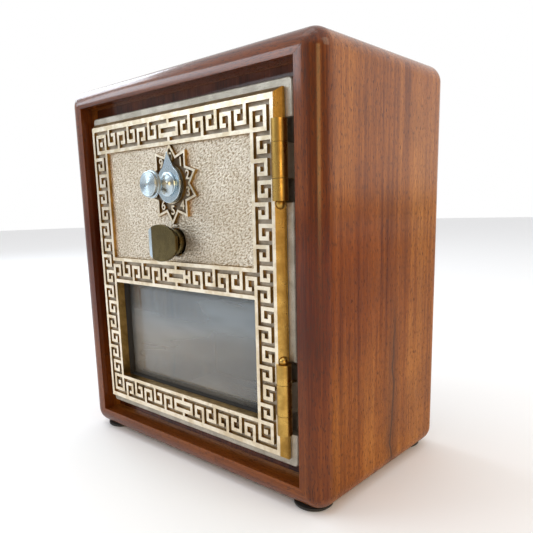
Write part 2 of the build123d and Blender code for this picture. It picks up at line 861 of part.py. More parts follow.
def lock_cover():
    cover = plate(bar(lock_left, lock_bottom, lock_right, lock_top), lock_end, lock_end + cover_thickness)
    for x, rise in cover_screw_places():
        cover -= rod(small_screw_radius + 0.1, lock_end - 1, lock_end + 3, x, rise)
    return cover


# ---------------------------------------------------------------- all nodes


def build():
    nodes = dict(boards())
    nodes["front_panel"] = front_panel()
    nodes["back_panel"] = back_panel()
    nodes["rubber_feet"] = rubber_feet()
    nodes["foot_screws"] = foot_screws()
    nodes["door_frame"] = door_frame()
    nodes["frame_screws"] = frame_screws()
    nodes["upper_hinge_pin"] = hinge_pin(hinge_rise)
    nodes["lower_hinge_pin"] = hinge_pin(-hinge_rise)
    nodes["door_leaf"] = door_leaf()
    nodes["window_gasket"] = window_gasket()
    nodes["window_glass"] = window_glass()
    nodes["glass_retainer"] = glass_retainer()
    seat = glass_front + glass_thickness + retainer_thickness
    nodes["retainer_screws"] = screws_at(retainer_screw_places(), leaf_back - 1.5, seat)
    nodes["lock_case"] = lock_case()
    nodes["case_screws"] = screws_at(case_screw_places(), leaf_back - 1.5, leaf_back + lock_wall)
    nodes["lock_cover"] = lock_cover()
    nodes["cover_screws"] = screws_at(cover_screw_places(), lock_end - 5.5, lock_end + cover_thickness)
    nodes["pointer"] = pointer()
    nodes["dial_knob"] = dial_knob()
    nodes["dial_spindle"] = dial_spindle()
    for k, name in enumerate(tumblers):
        nodes[name + "_tumbler_wheel"] = tumbler_wheel(k)
    nodes["drive_wheel"] = drive_wheel()
    nodes["wheel_washers"] = wheel_washers()
    nodes["spindle_clip"] = spindle_clip()
    nodes["latch_knob"] = latch_knob()
    nodes["latch_spindle"] = latch_spindle()
    nodes["latch_crank"] = latch_crank()
    nodes["latch_bolt"] = latch_bolt()
    nodes["bolt_spring"] = bolt_spring()
    return nodes


for name, shape in build().items():
    solids = Compound(shape) if isinstance(shape, list) else shape
    export_step(solids, f"parts/{name}.step")
print("bolt travel", round(bolt_travel(), 3), "mm")
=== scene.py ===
import math

import bmesh
import bpy
from mathutils import Matrix, Vector, geometry, noise


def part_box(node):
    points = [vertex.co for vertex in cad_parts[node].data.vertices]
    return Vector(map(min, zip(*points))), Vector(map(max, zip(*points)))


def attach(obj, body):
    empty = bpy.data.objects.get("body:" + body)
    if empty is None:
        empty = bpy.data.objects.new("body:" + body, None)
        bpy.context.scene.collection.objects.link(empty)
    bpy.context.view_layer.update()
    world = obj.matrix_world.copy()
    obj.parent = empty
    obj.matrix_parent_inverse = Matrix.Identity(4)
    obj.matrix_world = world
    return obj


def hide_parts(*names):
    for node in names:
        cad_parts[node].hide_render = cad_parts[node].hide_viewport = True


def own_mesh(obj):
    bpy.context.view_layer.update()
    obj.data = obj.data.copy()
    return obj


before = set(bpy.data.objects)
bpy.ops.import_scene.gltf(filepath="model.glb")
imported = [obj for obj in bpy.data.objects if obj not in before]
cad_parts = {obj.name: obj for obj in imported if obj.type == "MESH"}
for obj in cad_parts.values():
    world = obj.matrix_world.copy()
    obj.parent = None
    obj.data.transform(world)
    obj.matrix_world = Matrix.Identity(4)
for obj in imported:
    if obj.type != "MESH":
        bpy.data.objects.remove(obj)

# Looks of the donation lock box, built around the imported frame. Metres, +Z up, the door faces -Y.

# The clock seeds noise_vector unless a seed is given, and then the wrinkles differ from run to run.
noise.seed_set(1)

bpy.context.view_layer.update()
scene = bpy.context.scene
MM = 0.001


def middle(node):
    low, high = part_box(node)
    return (low + high) / 2


# Places taken from the frame.
dial = middle("dial_knob")
latch = middle("latch_knob")
door_middle = middle("door_frame")
front_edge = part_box("right_board")[0].y      # front plane of the case and of the relief
relief_depth = 1.7 * MM
pebble_height = 0.32 * MM                    # highest wrinkle over the dial panel
ground_y = front_edge + relief_depth
glass_margin = 3.2 * MM                      # how far the glass runs behind the door on each side
window_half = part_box("window_glass")[1].x - glass_margin
panel_low = door_middle.z + 6.3 * MM
panel_high = door_middle.z + 63.0 * MM
star_tip = 19.3 * MM
star_valley = 14.0 * MM
star_points = 10
latch_hole = 7.1 * MM
middle_knuckle_depth = 4.8 * MM              # the frame's flat face begins this far behind the front
hinge_axis = Vector((middle("upper_hinge_pin").x, middle("upper_hinge_pin").y, 0))
barrel_radius = 3.4 * MM


# ---------------------------------------------------------------- shader building


class Shader:
    """One node material. Each helper makes a node and gives back its output socket."""

    def __init__(self, name):
        self.material = bpy.data.materials.new(name)
        self.material.use_nodes = True
        self.tree = self.material.node_tree
        self.surface = self.tree.nodes["Principled BSDF"]
        coords = self.tree.nodes.new("ShaderNodeTexCoord")
        self.place = coords.outputs["Object"]
        self.facing = coords.outputs["Normal"]

    def put(self, socket, value):
        if isinstance(value, bpy.types.NodeSocket):
            self.tree.links.new(value, socket)
        else:
            socket.default_value = value

    def make(self, kind, inputs, **settings):
        made = self.tree.nodes.new(kind)
        for key, value in settings.items():
            setattr(made, key, value)
        for key, value in inputs.items():
            self.put(made.inputs[key], value)
        return made

    def sum(self, op, a, b=0.0):
        return self.make("ShaderNodeMath", {0: a, 1: b}, operation=op).outputs[0]

    def scaled(self, per_metre, shift=(0, 0, 0)):
        """Object coordinates times a scale for each axis, so that a pattern can be stretched."""
        grown = self.make("ShaderNodeVectorMath", {0: self.place, 1: per_metre}, operation="MULTIPLY")
        moved = self.make("ShaderNodeVectorMath", {0: grown.outputs[0], 1: shift}, operation="ADD")
        return moved.outputs[0]

    def noise(self, per_metre, detail=2.0, roughness=0.5, distortion=0.0, shift=(0, 0, 0)):
        vector = self.scaled(per_metre, shift)
        made = self.make("ShaderNodeTexNoise", {"Vector": vector, "Scale": 1.0, "Detail": detail,
                                                "Roughness": roughness, "Distortion": distortion})
        return made.outputs["Fac"]

    def cells(self, per_metre, feature="F1"):
        made = self.make("ShaderNodeTexVoronoi", {"Vector": self.scaled(per_metre), "Scale": 1.0},
                         feature=feature)
        return made.outputs["Distance"]

    def remap(self, value, low, high, to_low=0.0, to_high=1.0, smooth=False):
        kind = "SMOOTHSTEP" if smooth else "LINEAR"
        made = self.make("ShaderNodeMapRange", {"Value": value, "From Min": low, "From Max": high,
                                                "To Min": to_low, "To Max": to_high},
                         interpolation_type=kind)
        return made.outputs["Result"]

    def mix(self, share, a, b, blend="MIX"):
        made = self.make("ShaderNodeMix", {}, data_type="RGBA", blend_type=blend)
        self.put(made.inputs[0], share)
        self.put(made.inputs[6], a)
        self.put(made.inputs[7], b)
        return made.outputs[2]

    def ramp(self, value, stops):
        made = self.make("ShaderNodeValToRGB", {"Fac": value})
        band = made.color_ramp
        while len(band.elements) < len(stops):
            band.elements.new(0.5)
        for element, (position, colour) in zip(band.elements, stops):
            element.position = position
            element.color = colour
        return made.outputs["Color"]

    def bump(self, height, distance, strength=1.0, below=None):
        inputs = {"Height": height, "Distance": distance, "Strength": strength}
        if below is not None:
            inputs["Normal"] = below
        return self.make("ShaderNodeBump", inputs).outputs["Normal"]

    def axis(self, number, vector=None):
        made = self.make("ShaderNodeSeparateXYZ", {0: vector or self.place})
        return made.outputs[number]

    def finish(self, **values):
        for name, value in values.items():
            self.put(self.surface.inputs[name.replace("_", " ")], value)
        return self.material


def rgb(red, green, blue):
    return (red, green, blue, 1.0)


# ---------------------------------------------------------------- wood


def stretch(grain, across, along):
    """Scale for each axis: across the grain, and much less along it."""
    return tuple(along if axis == grain else across for axis in "XYZ")


def wood(name, grain, light, mid, dark, streak_at=None, gloss=(0.05, 0.75)):
    """Oiled hardwood: growth bands, fine fibres, short dark pores, a cross shimmer and a polish."""
    s = Shader(name)
    bands = s.noise(stretch(grain, 70, 3.0), 3.0, 0.55, 0.9)
    lines = s.noise(stretch(grain, 380, 7.0), 2.0, 0.6, 0.4, (3, 7, 1))
    fibres = s.noise(stretch(grain, 1700, 60), 2.0, 0.6, 0.2)
    pores = s.noise(stretch(grain, 2600, 400), 1.0, 0.4, 0.3, (9, 2, 5))
    shimmer = s.noise(stretch(grain, 26, 48), 1.0, 0.4, 0.6, (1, 8, 3))
    patches = s.noise(stretch(grain, 17, 9), 1.0, 0.5, 0.4, (2, 6, 7))
    tone = s.sum("ADD", s.sum("MULTIPLY", bands, 0.55), s.sum("MULTIPLY", lines, 0.45))
    colour = s.ramp(tone, [(0.34, dark), (0.50, mid), (0.68, light)])
    fibre_tint = s.ramp(fibres, [(0.32, rgb(0.58, 0.48, 0.40)), (0.60, rgb(1, 1, 1))])
    colour = s.mix(0.8, colour, fibre_tint, "MULTIPLY")
    shimmer_tint = s.ramp(shimmer, [(0.35, rgb(0.82, 0.80, 0.78)), (0.65, rgb(1.0, 1.0, 1.0))])
    colour = s.mix(0.8, colour, shimmer_tint, "MULTIPLY")
    patch_tint = s.ramp(patches, [(0.36, rgb(0.74, 0.60, 0.50)), (0.62, rgb(1.0, 1.0, 1.0))])
    colour = s.mix(0.8, colour, patch_tint, "MULTIPLY")
    # Darker near the front and at middle height, partly the board's own tone and partly painted shade,
    # since the top of the side catches more light.
    near_front = s.remap(s.axis("Y"), front_edge + 10 * MM, front_edge + 90 * MM, 0.85, 0.25, smooth=True)
    half_way = s.sum("ABSOLUTE", s.sum("SUBTRACT", s.axis("Z"), door_middle.z))
    half_way = s.remap(half_way, 10 * MM, 60 * MM, 1.0, 0.2, smooth=True)
    front_tone_and_painted_shade = s.sum("MULTIPLY", near_front, half_way)
    on_rim = s.remap(s.axis("Y"), front_edge + 5 * MM, front_edge + 10 * MM, 0.80, 0.0, smooth=True)
    colour = s.mix(front_tone_and_painted_shade, colour, rgb(0.52, 0.30, 0.14), "MULTIPLY")
    colour = s.mix(on_rim, colour, rgb(0.36, 0.17, 0.06), "MULTIPLY")
    pore_share = s.remap(pores, 0.57, 0.66, 0.0, 1.0, smooth=True)
    colour = s.mix(s.sum("MULTIPLY", pore_share, 0.74), colour, rgb(0.050, 0.016, 0.006))
    if streak_at is not None:
        colour = mineral_streak(s, colour, streak_at)
    height = s.sum("SUBTRACT", s.sum("MULTIPLY", fibres, 0.35), pore_share)
    normal = s.bump(height, 0.00010, 0.4)
    waves = s.noise(stretch(grain, 150, 60), 1.0, 0.5, 0.3, (4, 4, 4))
    normal = s.bump(waves, 0.0006, 0.30, normal)
    rough = s.remap(s.sum("ADD", fibres, pore_share), 0.2, 1.4, 0.34, 0.55)
    # The polish is thick on the rounded front edge, thin low on the sides and fuller high on them.
    polish = s.remap(s.axis("Z"), door_middle.z + 10 * MM, door_middle.z + 42 * MM, *gloss, smooth=True)
    edge = s.remap(s.axis("Y"), front_edge + 6 * MM, front_edge + 9 * MM, 0.40, 0.0, smooth=True)
    return s.finish(Base_Color=colour, Roughness=rough, Normal=normal, Specular_IOR_Level=0.09,
                    Coat_Weight=s.sum("MAXIMUM", polish, edge), Coat_Roughness=0.13)


def mineral_streak(s, colour, streak_at):
    """A thin dark line that wanders up the board, soft on both sides."""
    depth, top = streak_at
    height = s.axis("Z")
    wander = s.noise((0, 0, 34), 2.0, 0.5, 0.0, (5, 5, 0))
    centre = s.remap(wander, 0.2, 0.8, depth - 5 * MM, depth + 5 * MM)
    away = s.sum("ABSOLUTE", s.sum("SUBTRACT", s.axis("Y"), centre))
    core = s.remap(away, 0.3 * MM, 1.5 * MM, 1.0, 0.0, smooth=True)
    halo = s.remap(away, 1.0 * MM, 9.0 * MM, 0.40, 0.0, smooth=True)
    fade = s.remap(height, top - 40 * MM, top, 1.0, 0.0, smooth=True)
    share = s.sum("MULTIPLY", s.sum("MAXIMUM", s.sum("MULTIPLY", core, 0.9), halo), fade)
    return s.mix(share, colour, rgb(0.075, 0.032, 0.017))


# ---------------------------------------------------------------- metals


def tarnish(s, per_metre=160):
    """Slow cloudy change over a metal, from 0 to 1."""
    return s.remap(s.noise((per_metre,) * 3, 4.0, 0.6, 0.4), 0.36, 0.66, 0.0, 1.0, smooth=True)


def wall_share(s):
    """1 on faces that look sideways, 0 on faces that look forwards or back; it carries the painted shade
    and reflection on the walls.
    """
    ahead = s.sum("ABSOLUTE", s.axis("Y", s.facing))
    return s.remap(ahead, 0.60, 0.90, 1.0, 0.0, smooth=True)


def cast_brass(name):
    """Brass casting, polished on its high faces and left dark and rough in its low ones."""
    s = Shader(name)
    low = s.remap(s.axis("Y"), ground_y - 1.1 * MM, ground_y - 0.15 * MM, 0.0, 1.0, smooth=True)
    front = s.remap(s.axis("Y", s.facing), -0.8, -0.5, 1.0, 0.0)
    low = s.sum("MULTIPLY", low, front)
    clouds = tarnish(s)
    top = s.mix(clouds, rgb(0.84, 0.75, 0.60), rgb(0.66, 0.54, 0.37))
    # Painted shade and warm reflection: sideways faces get a deeper, darker gold than forward faces,
    # partly also the unpolished walls' own tone.
    side = s.mix(clouds, rgb(0.50, 0.31, 0.10), rgb(0.30, 0.18, 0.05))
    floor = s.mix(clouds, rgb(0.45, 0.40, 0.33), rgb(0.32, 0.28, 0.22))
    across = s.sum("SUBTRACT", s.axis("X"), dial.x)
    up = s.sum("SUBTRACT", s.axis("Z"), dial.z)
    from_dial = s.sum("SQRT", s.sum("ADD", s.sum("POWER", across, 2.0), s.sum("POWER", up, 2.0)))
    in_star = s.remap(from_dial, star_valley, star_tip, 0.85, 0.0, smooth=True)
    floor = s.mix(in_star, floor, rgb(0.17, 0.13, 0.085))
    colour = s.mix(wall_share(s), top, side)
    colour = s.mix(low, colour, floor)
    grain = s.noise((2600, 2600, 2600), 3.0, 0.6)
    coarse = s.noise((800, 800, 800), 2.0, 0.5)
    normal = s.bump(grain, 0.00006, 0.45, s.bump(coarse, 0.00012, 0.4))
    rough = s.remap(s.sum("ADD", grain, low), 0.3, 1.6, 0.30, 0.62)
    metallic = s.remap(low, 0.0, 1.0, 1.0, 0.75)
    return s.finish(Base_Color=colour, Metallic=metallic, Roughness=rough, Normal=normal)


def pebbled_brass(name):
    """The dial panel's wrinkled ground: its peaks are painted bright and its valleys brown, partly rubbed
    wear and patina, partly painted highlight and shade.
    """
    s = Shader(name)
    peak_wear_and_highlight = s.remap(s.axis("Y"), ground_y, ground_y - pebble_height, 0.0, 1.0)
    clouds = tarnish(s, 60)
    bright = s.mix(clouds, rgb(0.80, 0.73, 0.62), rgb(0.70, 0.62, 0.50))
    colour = s.mix(s.remap(peak_wear_and_highlight, 0.10, 0.75), rgb(0.38, 0.30, 0.20), bright)
    grain = s.noise((1500, 1500, 2600), 2.0, 0.6, 0.8)
    normal = s.bump(grain, 0.00028, 0.75)
    grain_tint = s.ramp(grain, [(0.36, rgb(0.55, 0.48, 0.40)), (0.56, rgb(1, 1, 1))])
    colour = s.mix(0.6, colour, grain_tint, "MULTIPLY")
    rough = s.remap(s.sum("SUBTRACT", grain, peak_wear_and_highlight), -0.7, 0.6, 0.34, 0.58)
    return s.finish(Base_Color=colour, Metallic=0.92, Roughness=rough, Normal=normal)


def brushed(name, colour, worn, rough_low, rough_high, along="Z", bump=0.00004, line_share=0.35):
    """Machined metal with fine lines along one axis and a cloudy tarnish."""
    s = Shader(name)
    lines = s.noise(stretch(along, 5200, 160), 2.0, 0.6)
    clouds = tarnish(s)
    tint = s.mix(clouds, colour, worn)
    line_tint = s.ramp(lines, [(0.3, rgb(0.6, 0.6, 0.6)), (0.7, rgb(1, 1, 1))])
    tint = s.mix(line_share, tint, line_tint, "MULTIPLY")
    rough = s.remap(s.sum("ADD", lines, clouds), 0.4, 1.6, rough_low, rough_high)
    normal = s.bump(lines, bump, 0.5)
    return s.finish(Base_Color=tint, Metallic=1.0, Roughness=rough, Normal=normal)


def frame_metal(name):
    """Grey sand-cast frame with a fine grain."""
    s = Shader(name)
    clouds = tarnish(s, 90)
    grain = s.noise((1900, 1900, 1900), 3.0, 0.65)
    pits = s.remap(s.cells((900, 900, 900)), 0.0, 0.35, 1.0, 0.0, smooth=True)
    colour = s.mix(clouds, rgb(0.52, 0.48, 0.41), rgb(0.37, 0.335, 0.275))
    colour = s.mix(s.sum("MULTIPLY", pits, 0.5), colour, rgb(0.20, 0.17, 0.13))
    height = s.sum("SUBTRACT", grain, s.sum("MULTIPLY", pits, 0.6))
    normal = s.bump(height, 0.00014, 0.6)
    rough = s.remap(grain, 0.3, 0.7, 0.42, 0.60)
    return s.finish(Base_Color=colour, Metallic=0.85, Roughness=rough, Normal=normal)


# ---------------------------------------------------------------- glass and rubber


def glass(name):
    """Clear glass with a thin film in slanting strokes, partly dust and partly painted reflection that
    brightens the glass.
    """
    s = Shader(name)
    s.finish(Base_Color=rgb(0.86, 0.92, 0.95), Transmission_Weight=1.0, Roughness=0.02, IOR=1.5)
    turn = s.make("ShaderNodeMapping", {"Vector": s.place, "Rotation": (0, math.radians(32), 0),
                                        "Scale": (9, 1, 42)})
    strokes = s.make("ShaderNodeTexNoise", {"Vector": turn.outputs[0], "Scale": 1.0, "Detail": 3.0,
                                            "Roughness": 0.5, "Distortion": 0.3})
    bands = s.make("ShaderNodeTexNoise", {"Vector": turn.outputs[0], "Scale": 0.55, "Detail": 0.5})
    warmth = s.remap(bands.outputs["Fac"], 0.35, 0.68, 0.0, 1.0, smooth=True)
    # The film is partly dust and partly painted reflection: it lifts the glass towards the brightness of
    # the window's reflection.
    dust_and_painted_reflection = s.mix(warmth, rgb(0.36, 0.42, 0.47), rgb(0.47, 0.43, 0.37))
    film = s.make("ShaderNodeBsdfPrincipled", {"Base Color": dust_and_painted_reflection, "Roughness": 0.35})
    share = s.remap(strokes.outputs["Fac"], 0.35, 0.68, 0.22, 0.50, smooth=True)
    mixed = s.make("ShaderNodeMixShader", {0: share, 1: s.surface.outputs[0], 2: film.outputs[0]})
    output = s.tree.nodes["Material Output"]
    s.tree.links.new(mixed.outputs[0], output.inputs["Surface"])
    return s.material


def rubber(name):
    s = Shader(name)
    specks = s.noise((2400, 2400, 2400), 3.0, 0.7)
    colour = s.mix(specks, rgb(0.012, 0.011, 0.010), rgb(0.040, 0.037, 0.034))
    rough = s.remap(specks, 0.3, 0.7, 0.62, 0.85)
    return s.finish(Base_Color=colour, Roughness=rough, Normal=s.bump(specks, 0.00008, 0.5))


walnut_light = rgb(0.62, 0.275, 0.058)
walnut_mid = rgb(0.45, 0.170, 0.025)
walnut_dark = rgb(0.24, 0.074, 0.010)
# Painted shade: a darker, shaded copy of the walnut colours above, used for the front and back panels.
shade_light = rgb(0.22, 0.070, 0.028)
shade_mid = rgb(0.13, 0.036, 0.014)
shade_dark = rgb(0.055, 0.014, 0.006)

streak_depth = middle("right_board").y + 4 * MM
materials = {
    "upright": wood("walnut_upright", "Z", walnut_light, walnut_mid, walnut_dark,
                    (streak_depth, door_middle.z)),
    "level": wood("walnut_level", "X", walnut_light, walnut_mid, walnut_dark),
    "upright_gloss": wood("walnut_upright_polished", "Z", walnut_light, walnut_mid, walnut_dark,
                          gloss=(0.9, 0.9)),
    "level_gloss": wood("walnut_level_polished", "X", walnut_light, walnut_mid, walnut_dark,
                        gloss=(0.9, 0.9)),
    # The panels get the shaded copy of the walnut: painted shade.
    "panel": wood("walnut_panel_painted_shade", "Z", shade_light, shade_mid, shade_dark, gloss=(0.5, 0.5)),
    "cast": cast_brass("cast_brass"),
    "pebble": pebbled_brass("pebbled_brass"),
    "brass": brushed("machined_brass", rgb(0.60, 0.37, 0.095), rgb(0.42, 0.25, 0.06), 0.24, 0.42),
    "frame": frame_metal("frame_metal"),
    # Painted reflection: the nickel's blue tint stands in for the bluish window light that it reflects.
    "nickel": brushed("nickel", rgb(0.52, 0.62, 0.69), rgb(0.46, 0.53, 0.56), 0.22, 0.30, "Y",
                      0.000002, 0.10),
    "bronze": brushed("dark_bronze", rgb(0.130, 0.098, 0.040), rgb(0.100, 0.075, 0.030), 0.22, 0.34),
    "steel": brushed("steel", rgb(0.50, 0.50, 0.49), rgb(0.36, 0.35, 0.33), 0.28, 0.45),
    "glass": glass("window_glass"),
    "rubber": rubber("black_rubber"),
}


# ---------------------------------------------------------------- mesh building


def dress(piece, *names):
    piece.data.materials.clear()
    for name in names:
        piece.data.materials.append(materials[name])
    return piece


def new_piece(name, bm, *names):
    mesh = bpy.data.meshes.new(name)
    bm.to_mesh(mesh)
    bm.free()
    for polygon in mesh.polygons:
        polygon.use_smooth = True
    piece = bpy.data.objects.new(name, mesh)
    scene.collection.objects.link(piece)
    return dress(piece, *names)


def finished(node, name, body, slot, edge, *names, steps=2, angle=32):
    """A copy of a CAD node whose sharp edges are rounded, as casting and sanding leave them."""
    bm = bmesh.new()
    bm.from_mesh(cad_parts[node].data)
    bmesh.ops.remove_doubles(bm, verts=bm.verts, dist=0.002 * MM)
    bmesh.ops.dissolve_limit(bm, angle_limit=math.radians(0.8), verts=bm.verts, edges=bm.edges)
    piece = new_piece(name, bm, *names)
    for layer in ("custom_normal", "sharp_face", "sharp_edge"):
        if layer in piece.data.attributes:
            piece.data.attributes.remove(piece.data.attributes[layer])
    rounding = piece.modifiers.new("rounded edges", "BEVEL")
    rounding.width = edge
    rounding.segments = steps
    rounding.limit_method = "ANGLE"
    rounding.angle_limit = math.radians(angle)
    shading = piece.modifiers.new("flat faces stay flat", "WEIGHTED_NORMAL")
    shading.weight = 100
    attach(piece, body)
    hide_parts(node)
    return piece


def paint_faces(piece, chosen, number):
    """Give another material to the faces that a test picks."""
    for polygon in piece.data.polygons:
        if chosen(polygon):
            polygon.material_index = number


def board(node, name, inward, material):
    """One board of the case, with a thicker polish on its inner face around the door."""
    piece = finished(node, name, "case", "walnut", 0.5 * MM, material, material + "_gloss")

    def beside_door(polygon):
        return polygon.normal.dot(inward) > 0.7 and polygon.center.y < door_middle.y
    paint_faces(piece, beside_door, 1)


def in_front_of_frame(polygon):
    """Faces of the middle knuckles, which stand in front of the frame's flat face."""
    return polygon.center.y < front_edge + middle_knuckle_depth and polygon.center.x > window_half


# ---------------------------------------------------------------- door casting


def door_casting():
    piece = finished("door_leaf", "door_casting", "door", "cast_brass", 0.16 * MM, "cast", "brass")

    def on_barrel(polygon):
        across = Vector((polygon.center.x - hinge_axis.x, polygon.center.y - hinge_axis.y))
        return across.length < 1.15 * barrel_radius and polygon.center.x > hinge_axis.x - barrel_radius
    paint_faces(piece, on_barrel, 1)
    return piece


def star_reach(angle):
    """Distance from the dial's middle to the star's outline, for an angle from straight up."""
    step = math.pi / star_points
    within = angle % (2 * step)
    from_tip = min(within, 2 * step - within)
    tip = Vector((star_tip, 0))
    valley = Vector((star_valley * math.cos(step), star_valley * math.sin(step)))
    side = valley - tip
    ray = Vector((math.cos(from_tip), math.sin(from_tip)))
    return tip.cross(side) / ray.cross(side)


def wrinkle(x, z):
    """Height of the pebbled ground at a point, from 0 to 1."""
    p = Vector((x / MM, 0, z / MM))
    bend = noise.noise_vector(p * 0.35)
    q = Vector((0.75 * p.x + 0.35 * p.z + 0.5 * bend.x, 0, 1.60 * p.z - 0.70 * p.x + 0.5 * bend.z))
    blob = noise.noise(q)
    small = noise.noise(p * 2.3 + Vector((40, 0, 9)))
    value = 0.5 + 0.95 * blob + 0.22 * small
    return min(1.0, max(0.0, value))


def panel_skin():
    """Wrinkled skin over the dial panel, closed behind, with room for the star and the latch."""
    pitch = 0.28 * MM
    margin = 0.35 * MM
    sunk = 0.3 * MM
    columns = round(2 * window_half / pitch)
    rows = round((panel_high - panel_low) / pitch)
    bm = bmesh.new()
    grid = []
    for j in range(rows + 1):
        z = panel_low + (panel_high - panel_low) * j / rows
        line = []
        for i in range(columns + 1):
            x = -window_half + 2 * window_half * i / columns
            from_dial = Vector((x - dial.x, z - dial.z))
            turn = math.atan2(from_dial.x, from_dial.y)
            in_star = from_dial.length < star_reach(turn) - margin
            in_latch = Vector((x - latch.x, z - latch.z)).length < latch_hole + margin
            height = -sunk if in_star or in_latch else 0.02 * MM + pebble_height * wrinkle(x, z)
            line.append(bm.verts.new((x, ground_y - height, z)))
        grid.append(line)
    for j in range(rows):
        for i in range(columns):
            corners = (grid[j][i], grid[j][i + 1], grid[j + 1][i + 1], grid[j + 1][i])
            centre = (corners[0].co + corners[2].co) / 2
            in_hole = Vector((centre.x - latch.x, centre.z - latch.z)).length < latch_hole
            in_boss = Vector((centre.x - dial.x, centre.z - dial.z)).length < star_valley - 2 * MM
            if not (in_hole or in_boss):
                bm.faces.new(corners)
    bmesh.ops.delete(bm, geom=[v for v in bm.verts if not v.link_faces], context="VERTS")
    rim = [edge for edge in bm.edges if len(edge.link_faces) == 1]
    skirt = bmesh.ops.extrude_edge_only(bm, edges=rim)["geom"]
    low = [item for item in skirt if isinstance(item, bmesh.types.BMVert)]
    for vertex in low:
        vertex.co.y = ground_y + 2 * sunk
    back = [item for item in skirt if isinstance(item, bmesh.types.BMEdge)]
    bmesh.ops.triangle_fill(bm, use_beauty=True, edges=back)
    bmesh.ops.recalc_face_normals(bm, faces=bm.faces)
    piece = new_piece("dial_panel_grain", bm, "pebble")
    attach(piece, "door")
    return piece


def numeral(number):
    """A raised figure in one point of the star, upright, as generic as on any dial."""
    height = 4.6 * MM
    size_of_height = 1.36                    # the font's size for a figure of height 1
    rise = 0.6 * MM
    reach = 12.6 * MM
    text = bpy.data.curves.new(f"figure_{number}", "FONT")
    text.body = str(number)
    text.size = height * size_of_height
    text.align_x = "CENTER"
    text.align_y = "CENTER"
    text.extrude = rise
    text.bevel_depth = 0.10 * MM
    text.bevel_resolution = 1
    text.offset = 0.05 * MM
    shape = bpy.data.objects.new("figure_outline", text)
    scene.collection.objects.link(shape)
    bpy.context.view_layer.update()
    solid = bpy.data.meshes.new_from_object(shape.evaluated_get(bpy.context.evaluated_depsgraph_get()))
    bpy.data.objects.remove(shape)
    turn = 2 * math.pi * number / star_points
    place = Vector((dial.x + reach * math.sin(turn), ground_y - rise, dial.z + reach * math.cos(turn)))
    solid.transform(Matrix.Translation(place) @ Matrix.Rotation(math.pi / 2, 4, "X"))
    piece = bpy.data.objects.new(f"dial_figure_{number}", solid)
    scene.collection.objects.link(piece)
    dress(piece, "cast")
    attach(piece, "door")
    return piece


# ---------------------------------------------------------------- turned and hand-sized pieces


def curve_points(start, pull, push, end, count):
    """Points along a curve in (radius, reach), without its last point."""
    points = geometry.interpolate_bezier(Vector(start), Vector(pull), Vector(push), Vector(end), count)
    return [(p[0], p[1]) for p in points[:-1]]


def turned(name, centre, front_y, profile, *names, segments=96):
    """Solid turned about a front to back axis from a list of (radius, distance in front) in mm."""
    bm = bmesh.new()
    rings = []
    for radius, reach in profile:
        y = front_y - reach * MM
        if radius == 0:
            rings.append([bm.verts.new((centre.x, y, centre.z))])
            continue
        ring = []
        for k in range(segments):
            turn = 2 * math.pi * k / segments
            ring.append(bm.verts.new((centre.x + radius * MM * math.cos(turn), y,
                                      centre.z + radius * MM * math.sin(turn))))
        rings.append(ring)
    for a, b in zip(rings, rings[1:]):
        for k in range(segments):
            m = (k + 1) % segments
            corners = [a[k % len(a)], a[m % len(a)], b[m % len(b)], b[k % len(b)]]
            unique = list(dict.fromkeys(corners))
            bm.faces.new(unique)
    bmesh.ops.recalc_face_normals(bm, faces=bm.faces)
    piece = new_piece(name, bm, *names)
    mark_creases(piece, 34)
    return piece


def mark_creases(piece, angle):
    """Sharp shading where two faces meet at more than an angle in degrees."""
    bm = bmesh.new()
    bm.from_mesh(piece.data)
    for edge in bm.edges:
        if len(edge.link_faces) == 2:
            edge.smooth = edge.calc_face_angle() < math.radians(angle)
    bm.to_mesh(piece.data)
    bm.free()


def turned_knob():
    """The dial's knob: dished foot, hollow waist, flared rim with grooves and a finely turned face."""
    profile = [(0, 1.8), (5.7, 1.8), (5.9, 2.0), (5.9, 2.5), (5.7, 2.75)]
    profile += curve_points((5.45, 2.8), (4.2, 3.5), (3.0, 4.9), (3.0, 7.3), 14)
    profile += curve_points((3.0, 7.3), (3.0, 9.2), (4.2, 10.4), (6.1, 10.9), 14)
    profile += [(6.3, 10.98), (6.5, 11.2), (6.5, 11.45), (6.35, 11.55), (6.35, 11.7), (6.5, 11.8),
                (6.5, 12.15), (6.35, 12.3), (5.9, 12.4), (5.85, 12.75), (6.0, 12.85), (6.0, 13.7),
                (5.85, 14.0), (5.55, 14.2), (5.2, 14.2)]
    ring_width = 0.4
    radius = 5.2
    while radius > 1.2:
        profile += [(radius - 0.3 * ring_width, 14.12), (radius - 0.6 * ring_width, 14.12),
                    (radius - ring_width, 14.2)]
        radius -= ring_width
    profile += [(0.7, 14.2), (0.55, 13.95), (0, 13.85)]
    piece = turned("dial_knob_turned", dial, front_edge, profile, "nickel")
    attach(piece, "dial")
    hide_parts("dial_knob")
    return piece


def thumb_turn():
    """The latch's oval knob in dark bronze; the forward and left-facing part of its end bevel is bright
    nickel, a painted highlight.
    """
    piece = finished("latch_knob", "latch_thumb_turn", "latch", "bronze", 0.3 * MM,
                     "bronze", "nickel", steps=3)

    # Painted highlight: only the bevel faces that look forward and to the left are bright nickel.
    def on_bevel(polygon):
        return polygon.normal.y < -0.5 and polygon.normal.x < -0.15
    paint_faces(piece, on_bevel, 1)
    return piece


def bolt_spring_coil():
    """The bolt's spring, held at its right end: a steel copy of the CAD spring that goes with the door."""
    piece = bpy.data.objects.new("bolt_spring_coil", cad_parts["bolt_spring"].data.copy())
    scene.collection.objects.link(piece)
    dress(piece, "steel")
    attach(piece, "door")
    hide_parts("bolt_spring")
    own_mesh(piece)
    return piece


# ---------------------------------------------------------------- dressing the CAD nodes

